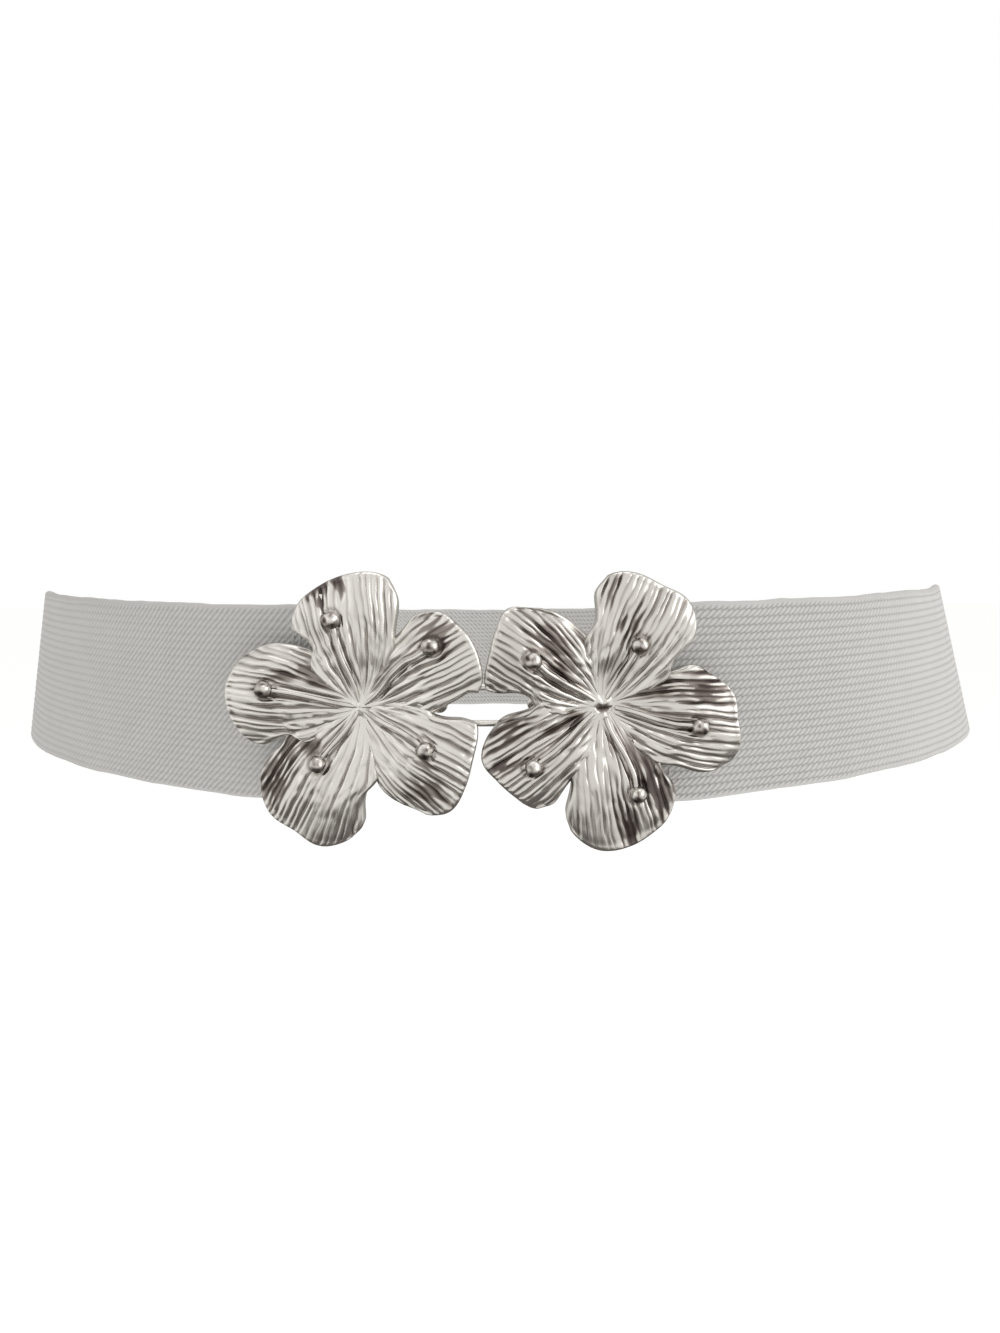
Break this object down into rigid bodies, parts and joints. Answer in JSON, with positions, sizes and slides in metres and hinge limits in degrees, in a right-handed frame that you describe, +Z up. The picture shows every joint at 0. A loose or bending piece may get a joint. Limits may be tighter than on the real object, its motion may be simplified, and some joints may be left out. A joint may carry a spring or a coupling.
{
  "type": "elastic waist belt with a flower clasp",
  "caption": "Wide ribbed elastic waist belt in a worn loop, closed at the front by two linked cast metal flowers.",
  "frame": {"origin": "middle of the waist loop, at half the elastic's width", "axes": "+Z up along the wearer's body, -Y the front with the flowers, +X to the right as seen from the front"},
  "size_m": [0.275, 0.2062, 0.0624],
  "materials": {
    "elastic": "woven elastic, lengthwise ribs with a fine diagonal twill, pale warm grey",
    "silver_metal": "polished silver-coloured cast zinc alloy with slightly softened reflections"
  },
  "bodies": {
    "root": {"elastic_band": "elastic", "flower_left": "silver_metal", "flower_right": "silver_metal", "clasp_link": "silver_metal"}
  },
  "joints": []
}
